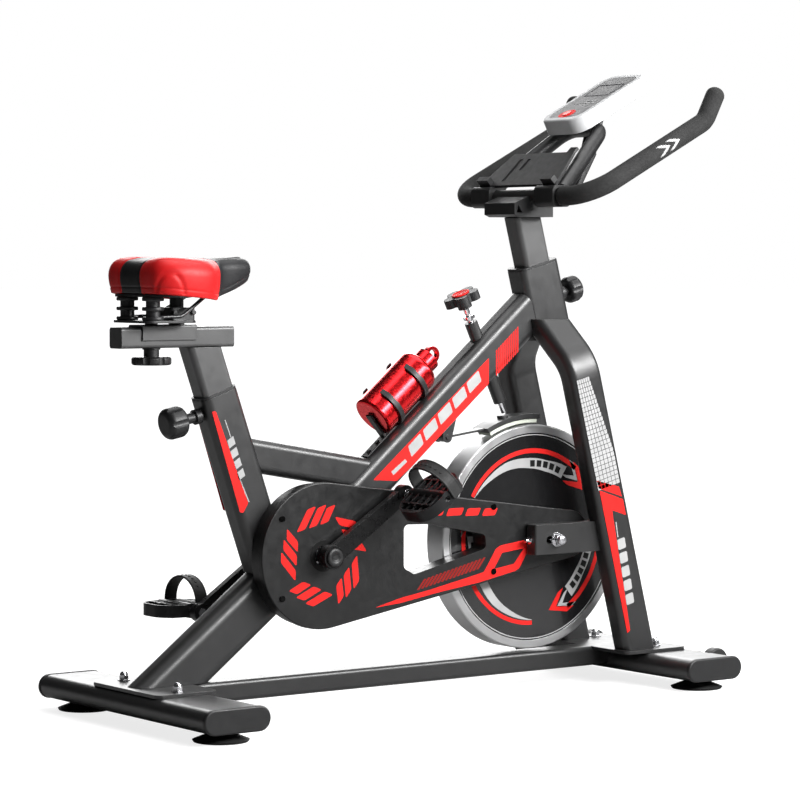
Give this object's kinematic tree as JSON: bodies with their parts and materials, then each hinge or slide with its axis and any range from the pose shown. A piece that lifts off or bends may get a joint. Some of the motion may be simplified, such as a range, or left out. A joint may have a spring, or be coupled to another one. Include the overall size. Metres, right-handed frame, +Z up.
{
  "type": "indoor spin bike",
  "caption": "Indoor spin bike: oval base tubes, slanted main tube, forked front with flywheel, belt guard, crank and pedals, sliding seat post and saddle, raised handlebar with console.",
  "frame": {"origin": "on the floor, under the middle of the bike's outline", "axes": "+X forward towards the handlebar, +Y to the rider's left, +Z up"},
  "size_m": [1.106, 0.501, 1.0377],
  "materials": {
    "frame_paint": "satin charcoal",
    "black_plastic": "matt",
    "guard_plastic": "satin",
    "rubber_feet": "matt",
    "wheel_plastic": "matt",
    "bright_steel": "bright",
    "plain_steel": "brushed",
    "bearing_steel": "ground",
    "belt_rubber": "ribbed",
    "crank_steel": "black",
    "pedal_plastic": "textured",
    "strap_rubber": "matt",
    "flywheel_iron": "machined",
    "flywheel_gloss": "gloss",
    "brake_steel": "zinc",
    "felt": "felt",
    "post_paint": "satin",
    "saddle_skin": "soft grain",
    "spring_steel": "black",
    "foam": "open foam",
    "console_shell": "light grey",
    "console_window": "black gloss",
    "button_red": "red",
    "bottle_red": "red anodised"
  },
  "bodies": {
    "frame": {"rear_stabiliser": "frame_paint", "front_stabiliser": "frame_paint", "end_caps": "black_plastic", "base_beam": "frame_paint", "level_feet": "rubber_feet", "rear_leg": "frame_paint", "main_tube": "frame_paint", "seat_tube": "frame_paint", "link_tube": "frame_paint", "head_tube": "frame_paint", "fork_legs": "frame_paint", "bottom_bracket_shell": "frame_paint", "bearings": "bearing_steel", "dropout_brackets": "frame_paint", "axle_hardware": "bright_steel", "guard_outer": "guard_plastic", "guard_inner": "guard_plastic", "frame_fasteners": "bright_steel", "drive_belt": "belt_rubber", "brake_mount": "plain_steel", "post_bushings": "black_plastic", "bottle_cage": "black_plastic"},
    "wheel_right": {"transport_wheel_right": "wheel_plastic"},
    "wheel_left": {"transport_wheel_left": "wheel_plastic"},
    "crank": {"crank_spindle": "plain_steel", "drive_pulley": "black_plastic", "crank_arms": "crank_steel", "pedal_axles": "bright_steel"},
    "pedal_r": {"pedal_right": "pedal_plastic", "toe_strap_right": "strap_rubber"},
    "pedal_l": {"pedal_left": "pedal_plastic", "toe_strap_left": "strap_rubber"},
    "flywheel": {"flywheel_disc": "flywheel_iron", "flywheel_covers": "flywheel_gloss"},
    "tension_rod": {"tension_rod": "bright_steel"},
    "tension_knob": {"tension_knob": "black_plastic"},
    "brake": {"brake_arm": "brake_steel", "brake_pad": "felt"},
    "seat_post": {"seat_post": "post_paint", "seat_slider": "post_paint"},
    "carriage": {"saddle_carriage": "post_paint", "saddle_clamp": "spring_steel", "saddle_springs": "spring_steel", "saddle_pan": "black_plastic", "saddle_pad": "saddle_skin"},
    "fore_aft_knob": {"fore_aft_knob": "black_plastic"},
    "seat_height_knob": {"seat_height_knob": "black_plastic"},
    "bar_height_knob": {"bar_height_knob": "black_plastic"},
    "mast": {"handlebar_post": "post_paint", "handlebar": "frame_paint", "foam_grips": "foam", "bar_clamp": "black_plastic", "device_rack": "black_plastic", "console_bracket": "black_plastic", "console_housing": "console_shell", "console_face": "console_window"},
    "console_button": {"console_button": "button_red"},
    "bottle": {"bottle_body": "bottle_red"},
    "bottle_cap": {"bottle_cap": "bottle_red"}
  },
  "joints": [
    {"name": "flywheel_spin", "type": "hinge", "parent": "frame", "child": "flywheel", "pos_m": [0.245, 0, 0.255], "axis": [0, 1, 0], "continuous": true},
    {"name": "crank_spin", "type": "hinge", "parent": "frame", "child": "crank", "pos_m": [-0.208, 0, 0.251], "axis": [0, 1, 0], "continuous": true},
    {"name": "pedal_right_spin", "type": "hinge", "parent": "crank", "child": "pedal_r", "pos_m": [-0.06608, -0.155, 0.34458], "axis": [0, 1, 0], "continuous": true},
    {"name": "pedal_left_spin", "type": "hinge", "parent": "crank", "child": "pedal_l", "pos_m": [-0.34992, 0.155, 0.15742], "axis": [0, 1, 0], "continuous": true},
    {"name": "wheel_right_spin", "type": "hinge", "parent": "frame", "child": "wheel_right", "pos_m": [0.531, -0.162, 0.038], "axis": [0, 1, 0], "continuous": true},
    {"name": "wheel_left_spin", "type": "hinge", "parent": "frame", "child": "wheel_left", "pos_m": [0.531, 0.162, 0.038], "axis": [0, 1, 0], "continuous": true},
    {"name": "tension_push", "type": "slide", "parent": "frame", "child": "tension_rod", "axis": [0.42, 0, -0.9075], "range_m": [0, 0.0022], "stiffness_N_per_m": 2000, "springref_m": -0.001},
    {"name": "tension_turn", "type": "hinge", "parent": "tension_rod", "child": "tension_knob", "pos_m": [0.115, 0, 0.652], "axis": [0.42, 0, -0.9075], "range_deg": [0, 1080]},
    {"name": "brake_swing", "type": "hinge", "parent": "frame", "child": "brake", "pos_m": [0.073, 0, 0.428], "axis": [0, 1, 0], "range_deg": [0, 0.895]},
    {"name": "seat_height", "type": "slide", "parent": "frame", "child": "seat_post", "axis": [-0.3305, 0, 0.9438], "range_m": [-0.045, 0.11]},
    {"name": "saddle_fore_aft", "type": "slide", "parent": "seat_post", "child": "carriage", "axis": [1, 0, 0], "range_m": [-0.035, 0.028]},
    {"name": "fore_aft_knob_turn", "type": "hinge", "parent": "carriage", "child": "fore_aft_knob", "pos_m": [-0.489, 0, 0.585], "axis": [0, 0, 1], "range_deg": [-360, 0]},
    {"name": "seat_pin_pull", "type": "slide", "parent": "frame", "child": "seat_height_knob", "axis": [-0.9816, 0, -0.1908], "range_m": [0, 0.012], "stiffness_N_per_m": 600, "springref_m": -0.004},
    {"name": "bar_pin_pull", "type": "slide", "parent": "frame", "child": "bar_height_knob", "axis": [0.9673, 0, 0.2538], "range_m": [0, 0.012], "stiffness_N_per_m": 600, "springref_m": -0.004},
    {"name": "bar_height", "type": "slide", "parent": "frame", "child": "mast", "axis": [-0.2538, 0, 0.9673], "range_m": [-0.04, 0.05]},
    {"name": "console_press", "type": "slide", "parent": "mast", "child": "console_button", "axis": [0.4617, 0, -0.887], "range_m": [0, 0.0015], "stiffness_N_per_m": 800, "springref_m": -0.0005},
    {"name": "bottle_draw", "type": "slide", "parent": "frame", "child": "bottle", "axis": [0.7652, 0, 0.6438], "range_m": [0, 0.06]},
    {"name": "cap_turn", "type": "hinge", "parent": "bottle", "child": "bottle_cap", "pos_m": [-0.07, 0, 0.464], "axis": [0.7652, 0, 0.6438], "range_deg": [0, 360]}
  ],
  "couplings": [
    {"joint": "crank_spin", "follows": "flywheel_spin", "ratio": 0.32},
    {"joint": "brake_swing", "follows": "tension_push", "rad_per_m": 7.1003}
  ]
}
